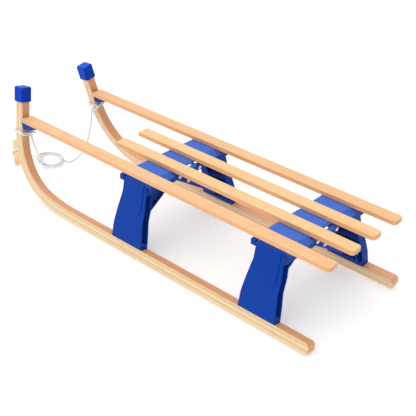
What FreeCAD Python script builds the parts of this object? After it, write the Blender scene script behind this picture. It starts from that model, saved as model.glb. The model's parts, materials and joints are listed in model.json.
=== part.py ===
import FreeCAD, Part
import math
import os

import Sketcher
from FreeCAD import Placement, Rotation, Vector

# A wooden toboggan with laminated beech runners, moulded legs and crossbars, and a pull cord.
# +X is the sled's front, +Y its left side and +Z up. The origin lies on the ground under the
# middle of the sled, measured without the cord. Lengths are in millimetres.

DIMENSIONS = {
    "slat_width": 35.0,
    "slat_thickness": 12.5,
    "outer_slat_length": 1059.0,
    "inner_slat_length": 766.0,
    "slat_rear_end": -553.0,
    "outer_slat_offset": 128.7,
    "inner_slat_offset": 41.0,
    "slat_underside": 212.4,
    "slat_corner_radius": 9.0,
    "runner_width": 26.3,
    "runner_depth": 28.8,
    "runner_tilt": 12.0,
    "runner_foot_offset": 188.0,
    "runner_rear_end": -542.5,
    "runner_straight_end": 287.0,
    "gentle_radius": 471.0,
    "gentle_turn": 13.2,
    "tight_radius": 183.8,
    "tight_turn": 70.4,
    "horn_length": 131.0,
    "horn_cap_length": 42.0,
    "horn_cap_grip": 36.0,
    "horn_cap_wall": 4.2,
    "front_trestle": 49.3,
    "rear_trestle": -388.7,
    "wall": 3.5,
    "crossbar_length": 292.0,
    "leg_depth": 24.0,
    "leg_wall": 3.0,
    "leg_height": 206.0,
    "panel_rise": 2.0,
    "brace_depth": 22.0,
    "brace_width": 43.0,
    "brace_wall": 3.0,
    "brace_pin_offset": 147.0,
    "brace_pin_height": 70.0,
    "rod_offset": 37.0,
    "rod_height": 192.0,
    "rod_diameter": 8.0,
    "pin_diameter": 6.0,
    "leg_pin_offset": 134.0,
    "leg_pin_height": 195.0,
    "cord_diameter": 5.8,
    "handle_length": 125.0,
    "handle_diameter": 19.0,
}

doc = FreeCAD.newDocument("toboggan")
sheet = doc.addObject("Spreadsheet::Sheet", "dims")
for row, (alias, value) in enumerate(DIMENSIONS.items(), start=1):
    sheet.set(f"A{row}", alias.replace("_", " "))
    sheet.set(f"B{row}", str(value))
    sheet.setAlias(f"B{row}", alias)
doc.recompute()

parts = []


def dim(name):
    return float(sheet.get(name))


# ---------------------------------------------------------------- sketching and feature helpers


def new_body(label):
    body = doc.addObject("PartDesign::Body", label)
    body.Label = label
    parts.append(body)
    return body


def new_sketch(body, role, offset=0.0):
    """A sketch on one of the body's own origin planes, moved by offset along its normal.
    The XZ plane's normal is -Y, the YZ plane's is +X and the XY plane's is +Z."""
    sketch = body.newObject("Sketcher::SketchObject", body.Name + "_sketch")
    plane = next(item for item in body.Origin.OriginFeatures if item.Role == role)
    sketch.AttachmentSupport = [(plane, "")]
    sketch.MapMode = "FlatFace"
    sketch.AttachmentOffset = Placement(Vector(0, 0, offset), Rotation())
    return sketch


def draw_loop(sketch, points):
    first = sketch.GeometryCount
    count = len(points)
    for start, end in zip(points, points[1:] + points[:1]):
        sketch.addGeometry(Part.LineSegment(Vector(*start, 0), Vector(*end, 0)))
    for i in range(count):
        sketch.addConstraint(Sketcher.Constraint("Coincident", first + i, 2, first + (i + 1) % count, 1))


def draw_box(sketch, x_low, x_high, y_low, y_high):
    draw_loop(sketch, [(x_low, y_low), (x_high, y_low), (x_high, y_high), (x_low, y_high)])


def draw_centred_rectangle(sketch, width, height):
    """A rectangle about the sketch's origin whose sides follow two cells of the sheet."""
    half_width = dim(width) / 2
    half_height = dim(height) / 2
    draw_box(sketch, -half_width, half_width, -half_height, half_height)
    for line, kind in ((0, "Horizontal"), (1, "Vertical"), (2, "Horizontal"), (3, "Vertical")):
        sketch.addConstraint(Sketcher.Constraint(kind, line))
    sketch.addConstraint(Sketcher.Constraint("Symmetric", 0, 1, 1, 2, -1, 1))
    across = sketch.addConstraint(Sketcher.Constraint("DistanceX", 0, 1, 0, 2, dim(width)))
    up = sketch.addConstraint(Sketcher.Constraint("DistanceY", 1, 1, 1, 2, dim(height)))
    sketch.setExpression(f"Constraints[{across}]", f"dims.{width}")
    sketch.setExpression(f"Constraints[{up}]", f"dims.{height}")


def draw_circle(sketch, x, y, radius):
    sketch.addGeometry(Part.Circle(Vector(x, y, 0), Vector(0, 0, 1), radius))


def extrude(body, kind, sketch, length, symmetric=False, reverse=False):
    """A Pad or Pocket; length is a number or an expression on the sheet."""
    feature = body.newObject("PartDesign::" + kind, f"{body.Name}_{kind.lower()}")
    feature.Profile = sketch
    if isinstance(length, str):
        feature.setExpression("Length", length)
    else:
        feature.Length = length
    feature.SideType = "Symmetric" if symmetric else "One side"
    feature.Reversed = reverse
    sketch.Visibility = False
    return feature


def cut_cells(body, role, offset, boxes, depth, **options):
    """Pockets a set of rectangular cells in one feature."""
    sketch = new_sketch(body, role, offset)
    for box in boxes:
        draw_box(sketch, *box)
    return extrude(body, "Pocket", sketch, depth, **options)


def cut_holes(body, role, offset, holes, depth, **options):
    """Pockets round holes, each (x, y, radius) in the sketch."""
    sketch = new_sketch(body, role, offset)
    for hole in holes:
        draw_circle(sketch, *hole)
    return extrude(body, "Pocket", sketch, depth, **options)


def round_edges(body, radius, chosen=None):
    """Fillets the edges that chosen picks on the body's present shape, or all of them."""
    doc.recompute()
    base = body.Tip
    edges = enumerate(base.Shape.Edges, start=1)
    names = [f"Edge{i}" for i, edge in edges if chosen is None or chosen(edge)]
    fillet = body.newObject("PartDesign::Fillet", body.Name + "_fillet")
    fillet.Base = (base, names)
    if isinstance(radius, str):
        fillet.setExpression("Radius", radius)
    else:
        fillet.Radius = radius
    base.Visibility = False
    return fillet


def edge_along(edge, axis, test):
    """True for a straight edge parallel to axis whose middle passes the test."""
    if not isinstance(edge.Curve, Part.Line):
        return False
    direction = edge.Curve.Direction
    return abs(abs(direction.dot(axis)) - 1) < 1e-6 and test(edge.CenterOfMass)


def add_shape(label, shape):
    """A sub-part whose shape is worked out from the sheet in code."""
    feature = doc.addObject("Part::Feature", label)
    feature.Label = label
    feature.Shape = shape
    parts.append(feature)
    return feature


X_AXIS = Vector(1, 0, 0)
Y_AXIS = Vector(0, 1, 0)
Z_AXIS = Vector(0, 0, 1)
HALF_TURN = Placement(Vector(), Rotation(Z_AXIS, 180))

# ------------------------------------------------------------------------------ runner planes

TILT = dim("runner_tilt")
SIN_TILT = math.sin(math.radians(TILT))
COS_TILT = math.cos(math.radians(TILT))
RUNNER_WIDTH = dim("runner_width")
EDGE_EASE = 1.5
# Each runner leans inwards, so that its eased inner edge meets the ground and its outer edge is lifted.
OUTER_LIFT = RUNNER_WIDTH * SIN_TILT - EDGE_EASE * (SIN_TILT + COS_TILT - 1)


def left_plane(x=0.0):
    """Local X along the sled, local Y out of the left runner's outer face, local Z up its slope."""
    return Placement(Vector(x, dim("runner_foot_offset"), OUTER_LIFT), Rotation(X_AXIS, TILT))


def right_plane(x=0.0):
    """The same for the right runner, whose local Y = -runner_width is its outer face."""
    rotation = Rotation(X_AXIS, -TILT)
    inner = rotation.multVec(Vector(0, RUNNER_WIDTH, 0))
    return Placement(Vector(x, -dim("runner_foot_offset"), OUTER_LIFT) + inner, rotation)


def in_left_plane(y, z):
    """A point (y, z) of the sled in the left plane's local Y and Z."""
    local = left_plane().inverse().multVec(Vector(0, y, z))
    return local.y, local.z

# --------------------------------------------------------------------------------- the slats

TRESTLES = {"front": dim("front_trestle"), "rear": dim("rear_trestle")}
# Each trestle's middle lies a little behind its station, which is where its left leg is drawn.
TRESTLE_SHIFT = -5.0
SCREW_SPREAD = 25.0
SCREW_RADIUS = 2.0
SCREW_BITE = 9.5
FRONT_CORNER_RADIUS = 2.5
SLAT_EDGE_EASE = 1.6


def trestle_frame(x):
    """The frame of a whole trestle, about whose Z axis its right side is its left side turned."""
    return Placement(Vector(x + TRESTLE_SHIFT, 0, 0), Rotation())


def slat(label, y, length):
    """A planed bar with rounded rear corners, eased edges and blind screw holes beneath."""
    body = new_body(label)
    outline = new_sketch(body, "XY_Plane")
    draw_centred_rectangle(outline, length, "slat_width")
    extrude(body, "Pad", outline, "dims.slat_thickness")
    middle = dim("slat_rear_end") + dim(length) / 2
    stations = []
    for x in TRESTLES.values():
        stations += [x + TRESTLE_SHIFT + side * SCREW_SPREAD - middle for side in (-1, 1)]
    round_edges(body, "dims.slat_corner_radius", lambda edge: edge_along(edge, Z_AXIS, lambda c: c.x < 0))
    round_edges(body, FRONT_CORNER_RADIUS, lambda edge: edge_along(edge, Z_AXIS, lambda c: c.x > 0))
    round_edges(body, SLAT_EDGE_EASE)
    cut_holes(body, "XY_Plane", 0, [(x, 0, SCREW_RADIUS) for x in stations], SCREW_BITE, reverse=True)
    body.setExpression("Placement.Base.z", "dims.slat_underside")
    body.setExpression("Placement.Base.x", f"dims.slat_rear_end + dims.{length} / 2")
    body.setExpression("Placement.Base.y", y)


slat("left_outer_slat", "dims.outer_slat_offset", "outer_slat_length")
slat("left_inner_slat", "dims.inner_slat_offset", "inner_slat_length")
slat("right_inner_slat", "-dims.inner_slat_offset", "inner_slat_length")
slat("right_outer_slat", "-dims.outer_slat_offset", "outer_slat_length")

# ------------------------------------------------------------------------ runners and their caps

GENTLE = math.radians(dim("gentle_turn"))
TIGHT = math.radians(dim("tight_turn"))
HORN_ANGLE = GENTLE + TIGHT
RUNNER_TOP = dim("runner_depth")
LEG_SCREW_SPOTS = (-38.0, 18.0)
LEG_SCREW_BITE = 20.0
RUNNER_MIDDLE = RUNNER_WIDTH / 2
REAR_ROUNDING = 9.0
CAP_ROUNDING = 5.0
CAP_VENT_RADIUS = 2.5


def runner_line(inset):
    """Corner points and arc centres of the bent line that lies inset above the sole."""
    start = Vector(dim("runner_rear_end"), inset, 0)
    bend = Vector(dim("runner_straight_end"), inset, 0)
    gentle = dim("gentle_radius") - inset
    tight = dim("tight_radius") - inset
    gentle_centre = bend + Vector(0, gentle, 0)
    change = gentle_centre + gentle * Vector(math.sin(GENTLE), -math.cos(GENTLE), 0)
    tight_centre = change - tight * Vector(math.sin(GENTLE), -math.cos(GENTLE), 0)
    horn = tight_centre + tight * Vector(math.sin(HORN_ANGLE), -math.cos(HORN_ANGLE), 0)
    tip = horn + dim("horn_length") * Vector(math.cos(HORN_ANGLE), math.sin(HORN_ANGLE), 0)
    return start, bend, change, horn, tip, (gentle_centre, gentle), (tight_centre, tight)


def draw_bent_line(sketch, inset):
    start, bend, change, horn, tip, gentle, tight = runner_line(inset)
    sketch.addGeometry(Part.LineSegment(start, bend))
    down = -math.pi / 2
    for (centre, radius), first, last in ((gentle, 0, GENTLE), (tight, GENTLE, HORN_ANGLE)):
        circle = Part.Circle(centre, Vector(0, 0, 1), radius)
        sketch.addGeometry(Part.ArcOfCircle(circle, down + first, down + last))
    sketch.addGeometry(Part.LineSegment(horn, tip))
    return start, tip


def runner(label, placement):
    """A laminated strip bent up into the horn at the front."""
    body = new_body(label)
    outline = new_sketch(body, "XZ_Plane")
    sole_start, sole_tip = draw_bent_line(outline, 0)
    top_start, top_tip = draw_bent_line(outline, RUNNER_TOP)
    outline.addGeometry(Part.LineSegment(sole_start, top_start))
    outline.addGeometry(Part.LineSegment(sole_tip, top_tip))
    extrude(body, "Pad", outline, "dims.runner_width")
    rear = dim("runner_rear_end")
    round_edges(body, REAR_ROUNDING, lambda edge: edge_along(edge, Y_AXIS, lambda c: c.x < rear + 1))
    on_a_side = lambda edge: abs(edge.CenterOfMass.y * (edge.CenterOfMass.y + RUNNER_WIDTH)) < 0.01
    round_edges(body, EDGE_EASE, on_a_side)
    holes = [(x + spot, -RUNNER_MIDDLE) for x in TRESTLES.values() for spot in leg_screw_spots(label)]
    cut_holes(body, "XY_Plane", RUNNER_TOP, [(x, y, SCREW_RADIUS) for x, y in holes], LEG_SCREW_BITE)
    body.Placement = placement


def leg_screw_spots(label):
    """The right legs are the left ones turned about the trestle's middle, and so are their screws."""
    if label.startswith("left"):
        return LEG_SCREW_SPOTS
    return [2 * TRESTLE_SHIFT - spot for spot in LEG_SCREW_SPOTS]


def horn_frame():
    """Local placement, in the runner's plane, of the horn's end: local X across the bend, Z along it."""
    sole_tip = runner_line(0)[4]
    top_tip = runner_line(RUNNER_TOP)[4]
    middle = (sole_tip + top_tip) / 2
    lean = Rotation(Y_AXIS, 90 - math.degrees(HORN_ANGLE))
    return Placement(Vector(middle.x, -RUNNER_MIDDLE, middle.y), lean)


def horn_cap(label, plane):
    """A moulded cap pushed over the horn's end, with a small vent hole in its crown."""
    body = new_body(label)
    wall = dim("horn_cap_wall")
    half_x = RUNNER_TOP / 2 + wall
    half_y = RUNNER_WIDTH / 2 + wall
    length = dim("horn_cap_length")
    outline = new_sketch(body, "XY_Plane")
    draw_box(outline, -half_x, half_x, -half_y, half_y)
    extrude(body, "Pad", outline, "dims.horn_cap_length")
    round_edges(body, CAP_ROUNDING, lambda edge: edge_along(edge, Z_AXIS, lambda c: True))
    round_edges(body, CAP_ROUNDING, lambda edge: edge.CenterOfMass.z > length - 0.01)
    socket = (-half_x + wall, half_x - wall, -half_y + wall, half_y - wall)
    cut_cells(body, "XY_Plane", 0, [socket], "dims.horn_cap_grip", reverse=True)
    cut_holes(body, "XY_Plane", length + 1, [(0, 0, CAP_VENT_RADIUS)], length)
    seat = Placement(Vector(0, 0, -dim("horn_cap_grip")), Rotation())
    body.Placement = plane * horn_frame() * seat


LEFT_PLANE = left_plane()
RIGHT_PLANE = right_plane()
runner("left_runner", LEFT_PLANE)
runner("right_runner", RIGHT_PLANE)
horn_cap("left_horn_cap", LEFT_PLANE)
horn_cap("right_horn_cap", RIGHT_PLANE)

# ---------------------------------------------------------------------------------- crossbars

WALL = dim("wall")
BAR_TOP = dim("slat_underside")
BAR_HALF_LENGTH = dim("crossbar_length") / 2
BAR_BOTTOM = 190.0
FRONT_SHOULDER = 205.0
REAR_SHOULDER = 202.0
BAR_FRONT = 57.5
BAR_REAR = -55.0
FLAT_FRONT = 47.5
FLAT_REAR = -35.0
CORE_HALF = 45.5
BLOCK_HALF = 20.5
NOTCH_INNER = BLOCK_HALF + WALL
NOTCH_OUTER = 57.0
EAR_HALF = 8.0
EAR_BOTTOM = 184.0
LEG_WAY_HALF = 43.5
ROD_CLEARANCE = 0.05
SCREW_CLEARANCE = 0.3


def block_cavity():
    """The hollow under a crossbar's top, as wide as its front and rear walls leave."""
    return [
        (BAR_REAR + WALL, EAR_BOTTOM),
        (BAR_FRONT - WALL, EAR_BOTTOM),
        (BAR_FRONT - WALL, FRONT_SHOULDER - WALL),
        (FLAT_FRONT - WALL / 2, BAR_TOP - WALL),
        (FLAT_REAR + WALL / 2, BAR_TOP - WALL),
        (BAR_REAR + WALL, REAR_SHOULDER - WALL),
    ]


def leg_way(side):
    """The opening in a crossbar's end wall that its leg's top fits in; the wall stays on one side of it."""
    low_rear, low_front, front_shoulder, front_top, rear_top, rear_shoulder = block_cavity()
    if side > 0:
        corners = [(LEG_WAY_HALF, EAR_BOTTOM), (LEG_WAY_HALF, front_top[1])]
        return [low_rear] + corners + [rear_top, rear_shoulder]
    drop = LEG_WAY_HALF + rear_top[0]
    slope = (rear_top[1] - rear_shoulder[1]) / (rear_top[0] - rear_shoulder[0])
    corners = [(-LEG_WAY_HALF, rear_top[1] - slope * drop), (-LEG_WAY_HALF, EAR_BOTTOM)]
    return [low_front, front_shoulder, front_top, rear_top] + corners


def slat_screw_spots():
    """(x, y) of a trestle's eight screws up into the slats."""
    offsets = [dim("outer_slat_offset"), dim("inner_slat_offset")]
    return [(x * SCREW_SPREAD, y * offset) for offset in offsets for y in (-1, 1) for x in (-1, 1)]


def crossbar(label, x):
    """A ribbed moulding open beneath, notched under the inner slats where the rods end."""
    body = new_body(label)
    outline = new_sketch(body, "XZ_Plane")
    outer = [(BAR_FRONT, BAR_BOTTOM), (BAR_FRONT, FRONT_SHOULDER), (FLAT_FRONT, BAR_TOP)]
    outer += [(FLAT_REAR, BAR_TOP), (BAR_REAR, REAR_SHOULDER), (BAR_REAR, BAR_BOTTOM)]
    draw_loop(outline, outer)
    extrude(body, "Pad", outline, "dims.crossbar_length", symmetric=True)
    round_edges(body, 2.0, lambda edge: edge_along(edge, Y_AXIS, lambda c: c.z > REAR_SHOULDER - 1))

    core = (-CORE_HALF, CORE_HALF, EAR_BOTTOM, BAR_TOP - WALL)
    cut_cells(body, "XZ_Plane", 0, [core], 2 * NOTCH_OUTER, symmetric=True)
    middle = new_sketch(body, "XZ_Plane")
    draw_loop(middle, block_cavity())
    extrude(body, "Pocket", middle, 2 * BLOCK_HALF, symmetric=True)
    cell_start = NOTCH_OUTER + WALL
    cell_length = BAR_HALF_LENGTH - WALL - cell_start
    for offset, reverse in ((cell_start, True), (-cell_start, False)):
        cell = new_sketch(body, "XZ_Plane", offset)
        draw_loop(cell, block_cavity())
        extrude(body, "Pocket", cell, cell_length, reverse=reverse)

    inside_end = BAR_HALF_LENGTH - WALL - 1
    for side in (-1, 1):
        opening = new_sketch(body, "XZ_Plane", -side * inside_end)
        draw_loop(opening, leg_way(side))
        extrude(body, "Pocket", opening, 2 * WALL, reverse=side < 0)

    reach = BAR_FRONT + 5
    notches = []
    for y_low, y_high in ((NOTCH_INNER, NOTCH_OUTER), (-NOTCH_OUTER, -NOTCH_INNER)):
        notches.append((CORE_HALF + WALL, reach, y_low, y_high))
        notches.append((-reach, -CORE_HALF - WALL, y_low, y_high))
    cut_cells(body, "XY_Plane", BAR_TOP + 1, notches, 40)
    for offset in (CORE_HALF, -CORE_HALF - WALL):
        ears = new_sketch(body, "YZ_Plane", offset)
        for side in (-1, 1):
            middle_y = side * dim("rod_offset")
            draw_box(ears, middle_y - EAR_HALF, middle_y + EAR_HALF, EAR_BOTTOM, BAR_BOTTOM + 1)
        extrude(body, "Pad", ears, "dims.wall")
    rod_radius = dim("rod_diameter") / 2 + ROD_CLEARANCE
    rods = [(side * dim("rod_offset"), dim("rod_height"), rod_radius) for side in (-1, 1)]
    cut_holes(body, "YZ_Plane", 0, rods, 2 * (CORE_HALF + WALL + 1), symmetric=True)

    screws = [(x, y, SCREW_RADIUS + SCREW_CLEARANCE) for x, y in slat_screw_spots()]
    cut_holes(body, "XY_Plane", BAR_TOP + 1, screws, 2 * WALL)
    body.Placement = trestle_frame(x)


for place, x in TRESTLES.items():
    crossbar(place + "_crossbar", x)

# --------------------------------------------------------------------------------------- legs

LEG_DEPTH = dim("leg_depth")
LEG_WALL = dim("leg_wall")
LEG_TOP = dim("leg_height")
FOOT = RUNNER_TOP
FOOT_PLATE = FOOT + 4.0
SHOULDER = LEG_TOP - 6.5
LEG_FRONT = [(56, FOOT), (55.4, 69), (50, 101), (43.6, 132), (37, 162), (37, SHOULDER), (30.5, LEG_TOP)]
LEG_REAR = [(-38.5, LEG_TOP), (-44.6, SHOULDER), (-49, 140), (-46.7, 102), (-51, 67), (-54, FOOT)]
LEG_CURVE = 60.0
FRONT_RIB = -22.0
CHANNEL_BOTTOM = FOOT_PLATE + 8.0
CHANNEL_TOP = 176.0
SHELF_HEIGHT = 108.0
SHELF_TOP = SHELF_HEIGHT + LEG_WALL
ROOF = LEG_TOP - 4.0
LUG_SPOTS = (-6.5, 40.5)
LUG_THICKNESS = 3.0
PANEL_BOTTOM = 105.0
PANEL_TOP = 204.0
PANEL_RADIUS = 35.0
PANEL_MIDDLE = -2.0
LEG_PIN_RADIUS = 2.5
SCREW_WELL_RADIUS = 4.5


def leg_panel(sketch):
    """The raised panel on the leg's outer face: straight sides over a half-round foot."""
    centre = Vector(PANEL_MIDDLE, PANEL_BOTTOM + PANEL_RADIUS, 0)
    left = centre - Vector(PANEL_RADIUS, 0, 0)
    right = centre + Vector(PANEL_RADIUS, 0, 0)
    circle = Part.Circle(centre, Vector(0, 0, 1), PANEL_RADIUS)
    sketch.addGeometry(Part.ArcOfCircle(circle, math.pi, 2 * math.pi))
    sketch.addGeometry(Part.LineSegment(right, Vector(right.x, PANEL_TOP, 0)))
    sketch.addGeometry(Part.LineSegment(Vector(right.x, PANEL_TOP, 0), Vector(left.x, PANEL_TOP, 0)))
    sketch.addGeometry(Part.LineSegment(Vector(left.x, PANEL_TOP, 0), left))


def leg(label, placement):
    """A shell open to the inside, a channel open to the rear, two lugs for the brace and a screwed foot."""
    body = new_body(label)
    outline = new_sketch(body, "XZ_Plane")
    draw_loop(outline, LEG_FRONT + LEG_REAR)
    extrude(body, "Pad", outline, "dims.leg_depth")
    bends = lambda edge: edge_along(edge, Y_AXIS, lambda c: FOOT + 1 < c.z < SHOULDER - 1)
    round_edges(body, LEG_CURVE, bends)
    round_edges(body, 2.0, lambda edge: edge.CenterOfMass.y > -0.01)

    depth = LEG_DEPTH - LEG_WALL
    front_cell = [(53, FOOT_PLATE), (52.4, 69), (47, 101), (44.5, SHELF_HEIGHT)]
    front_cell += [(FRONT_RIB, SHELF_HEIGHT), (FRONT_RIB, FOOT_PLATE)]
    upper_cell = [(42.5, SHELF_TOP), (40.6, 132), (34, 162), (34, ROOF), (FRONT_RIB, ROOF)]
    upper_cell += [(FRONT_RIB, SHELF_TOP)]
    cavity = new_sketch(body, "XZ_Plane", LEG_DEPTH)
    for cell in (front_cell, upper_cell):
        draw_loop(cavity, cell)
    extrude(body, "Pocket", cavity, depth)
    channel = (-60, FRONT_RIB - LEG_WALL, CHANNEL_BOTTOM, CHANNEL_TOP)
    cut_cells(body, "XZ_Plane", depth, [channel], depth - LEG_WALL)

    lip = new_sketch(body, "XZ_Plane", LEG_DEPTH)
    draw_box(lip, FRONT_RIB - 1, 53.5, FOOT_PLATE - 1, FOOT_PLATE + 7)
    extrude(body, "Pad", lip, LEG_WALL, reverse=True)

    pin_y, pin_z = in_left_plane(dim("brace_pin_offset"), dim("brace_pin_height"))
    for spot in LUG_SPOTS:
        lug = new_sketch(body, "YZ_Plane", spot)
        draw_loop(lug, [
            (-LEG_WALL + 0.5, FOOT_PLATE - 1),
            (-LEG_DEPTH, FOOT_PLATE - 1),
            (pin_y - 8, pin_z - 9),
            (pin_y - 8, pin_z + 5),
            (pin_y - 4, pin_z + 9),
            (-LEG_WALL + 0.5, pin_z + 32),
        ])
        extrude(body, "Pad", lug, LUG_THICKNESS)
    span = LUG_SPOTS[1] - LUG_SPOTS[0] + LUG_THICKNESS + 1
    pin_radius = dim("pin_diameter") / 2
    cut_holes(body, "YZ_Plane", LUG_SPOTS[1] + LUG_THICKNESS + 0.5, [(pin_y, pin_z, pin_radius)], span)

    panel = new_sketch(body, "XZ_Plane")
    leg_panel(panel)
    extrude(body, "Pad", panel, "dims.panel_rise", reverse=True)

    screws = [(x, -RUNNER_MIDDLE, SCREW_RADIUS + SCREW_CLEARANCE) for x in LEG_SCREW_SPOTS]
    cut_holes(body, "XY_Plane", CHANNEL_BOTTOM + 0.5, screws, 20)
    well = (LEG_SCREW_SPOTS[0], -RUNNER_MIDDLE, SCREW_WELL_RADIUS)
    cut_holes(body, "XY_Plane", CHANNEL_BOTTOM + 0.5, [well], CHANNEL_BOTTOM + 0.5 - FOOT_PLATE)
    top_y, top_z = in_left_plane(dim("leg_pin_offset"), dim("leg_pin_height"))
    cut_holes(body, "YZ_Plane", 0, [(top_y, top_z, LEG_PIN_RADIUS)], 200, symmetric=True)
    body.Placement = placement


LEG_PLACE = left_plane(-TRESTLE_SHIFT)
for place, x in TRESTLES.items():
    leg(place + "_left_leg", trestle_frame(x) * LEG_PLACE)
    leg(place + "_right_leg", trestle_frame(x) * HALF_TURN * LEG_PLACE)

# ------------------------------------------------------------------------------------- braces

BRACE_RISE = dim("rod_height") - dim("brace_pin_height")
BRACE_RUN = dim("brace_pin_offset") + dim("rod_offset")
BRACE_LENGTH = math.hypot(BRACE_RISE, BRACE_RUN)
BRACE_SLOPE = math.atan2(BRACE_RISE, BRACE_RUN)
# Distance from the lower pin to where the two braces cross over the sled's middle.
BRACE_CROSSING = dim("brace_pin_offset") / math.cos(BRACE_SLOPE)
BRACE_HALF_DEPTH = dim("brace_depth") / 2
BRACE_FRONT = 40.0 - TRESTLE_SHIFT
BOLT_RADIUS = 3.0


def brace(label, placement):
    """A moulded channel with round ends, bosses at its three holes and cross ribs between."""
    body = new_body(label)
    outline = new_sketch(body, "XZ_Plane")
    radius = BRACE_HALF_DEPTH
    lower = Vector(0, 0, 0)
    upper = Vector(BRACE_LENGTH, 0, 0)
    up = Vector(0, radius, 0)
    for centre, start in ((lower, math.pi / 2), (upper, -math.pi / 2)):
        circle = Part.Circle(centre, Vector(0, 0, 1), radius)
        outline.addGeometry(Part.ArcOfCircle(circle, start, start + math.pi))
    outline.addGeometry(Part.LineSegment(lower - up, upper - up))
    outline.addGeometry(Part.LineSegment(upper + up, lower + up))
    extrude(body, "Pad", outline, "dims.brace_width")
    round_edges(body, 1.5, lambda edge: abs(edge.CenterOfMass.y) < 0.01)

    half = radius - dim("brace_wall")
    boss = 9.0
    bays = []
    for start, end in ((0, BRACE_CROSSING), (BRACE_CROSSING, BRACE_LENGTH)):
        first = start + boss
        last = end - boss
        bay = (last - first + 2.5) / 2
        bays += [(first, first + bay - 2.5, -half, half), (last - bay + 2.5, last, -half, half)]
    depth = dim("brace_width") - dim("brace_wall")
    cut_cells(body, "XZ_Plane", dim("brace_width"), bays, depth)
    holes = [(0, 0, dim("pin_diameter") / 2), (BRACE_CROSSING, 0, BOLT_RADIUS)]
    holes += [(BRACE_LENGTH, 0, dim("rod_diameter") / 2)]
    cut_holes(body, "XZ_Plane", dim("brace_width"), holes, 60)
    body.Placement = placement


def brace_place():
    """The left leg's brace in the trestle: from its pin up to the rod on the right."""
    along = Vector(0, -math.cos(BRACE_SLOPE), math.sin(BRACE_SLOPE))
    upwards = Vector(0, math.sin(BRACE_SLOPE), math.cos(BRACE_SLOPE))
    turn = Rotation(along, X_AXIS, upwards, "XYZ")
    pin = Vector(BRACE_FRONT, dim("brace_pin_offset"), dim("brace_pin_height"))
    return Placement(pin, turn)


for place, x in TRESTLES.items():
    brace(place + "_left_brace", trestle_frame(x) * brace_place())
    brace(place + "_right_brace", trestle_frame(x) * HALF_TURN * brace_place())

# ------------------------------------------------------------------- rods, pins, bolts, screws

ROD_CAP_RADIUS = 5.4
ROD_CAP_HEIGHT = 3.2
ROD_HALF_LENGTH = CORE_HALF + WALL + 1.5


def bar_along_x(radius, start, end, y, z):
    return Part.makeCylinder(radius, end - start, Vector(start, y, z), X_AXIS)


def dome(radius, height):
    """A low button on the XY plane with a well rounded rim."""
    button = Part.makeCylinder(radius, height)
    rim = [edge for edge in button.Edges if edge.Closed and edge.CenterOfMass.z > height / 2]
    return button.makeFillet(0.75 * height, rim)


def pan_screw(length, radius=SCREW_RADIUS, head_radius=4.0, head_height=2.4):
    """A pan-head wood screw with its head's underside on the XY plane, pointing along +Z."""
    head = dome(head_radius, head_height)
    head.rotate(Vector(), X_AXIS, 180)
    slot = Part.makeBox(1.0, head_radius, 1.2, Vector(-0.5, -head_radius / 2, -head_height - 0.1))
    cross = Part.makeBox(head_radius, 1.0, 1.2, Vector(-head_radius / 2, -0.5, -head_height - 0.1))
    shank = Part.makeCylinder(radius, length - 4.0)
    tip = Part.makeCone(radius, 0.4, 4.0, Vector(0, 0, length - 4.0))
    return head.fuse([shank, tip]).cut([slot, cross]).removeSplitter()


def placed(shape, placement):
    copy = shape.copy()
    copy.Placement = placement * shape.Placement
    return copy


def pointing(direction, base):
    """Moves the XY origin to base and turns +Z to direction."""
    return Placement(base, Rotation(Z_AXIS, direction))


def rod(label, x, side):
    """A steel rod through both crossbar walls and the end of one brace."""
    y = side * dim("rod_offset")
    cylinder = doc.addObject("Part::Cylinder", label)
    cylinder.Label = label
    cylinder.setExpression("Radius", "dims.rod_diameter / 2")
    cylinder.Height = 2 * ROD_HALF_LENGTH
    cylinder.Placement = trestle_frame(x) * pointing(X_AXIS, Vector(-ROD_HALF_LENGTH, y, dim("rod_height")))
    parts.append(cylinder)


def rod_caps():
    """Pressed caps on both ends of every rod."""
    caps = []
    cap = dome(ROD_CAP_RADIUS, ROD_CAP_HEIGHT)
    cap = cap.cut(Part.makeCylinder(dim("rod_diameter") / 2, ROD_HALF_LENGTH - CORE_HALF - WALL))
    for x in TRESTLES.values():
        for side in (-1, 1):
            for end in (-1, 1):
                base = Vector(end * (CORE_HALF + WALL), side * dim("rod_offset"), dim("rod_height"))
                caps.append(placed(cap, trestle_frame(x) * pointing(X_AXIS * end, base)))
    return Part.makeCompound(caps)


def in_trestles(shapes):
    """Repeats shapes made in the trestle's frame at both trestles."""
    frames = [trestle_frame(x) for x in TRESTLES.values()]
    return Part.makeCompound([placed(shape, frame) for frame in frames for shape in shapes])


def both_ways(shape):
    """A shape and the same shape turned half a turn about the trestle's middle."""
    return [shape, placed(shape, HALF_TURN)]


for place, x in TRESTLES.items():
    rod(place + "_left_rod", x, 1)
    rod(place + "_right_rod", x, -1)
add_shape("rod_caps", rod_caps())

pin_start = LUG_SPOTS[0] - TRESTLE_SHIFT
pin_end = LUG_SPOTS[1] + LUG_THICKNESS - TRESTLE_SHIFT
brace_pin = bar_along_x(
    dim("pin_diameter") / 2, pin_start, pin_end, dim("brace_pin_offset"), dim("brace_pin_height")
)


def with_heads(shape, radius, start, end, y, z):
    """A pin with a low domed head at each end."""
    heads = [placed(dome(radius * 1.6, 1.8), pointing(-X_AXIS, Vector(start, y, z)))]
    heads.append(placed(dome(radius * 1.6, 1.8), pointing(X_AXIS, Vector(end, y, z))))
    return shape.fuse(heads).removeSplitter()


def hexagon(across_flats, thickness, hole):
    radius = across_flats / math.sqrt(3)
    angles = [math.radians(60 * i) for i in range(7)]
    outline = Part.makePolygon([radius * Vector(math.cos(a), math.sin(a), 0) for a in angles])
    return Part.Face(outline).extrude(Z_AXIS * thickness).cut(Part.makeCylinder(hole, thickness))


def ring(outer, inner, thickness):
    return Part.makeCylinder(outer, thickness).cut(Part.makeCylinder(inner, thickness))


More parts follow.
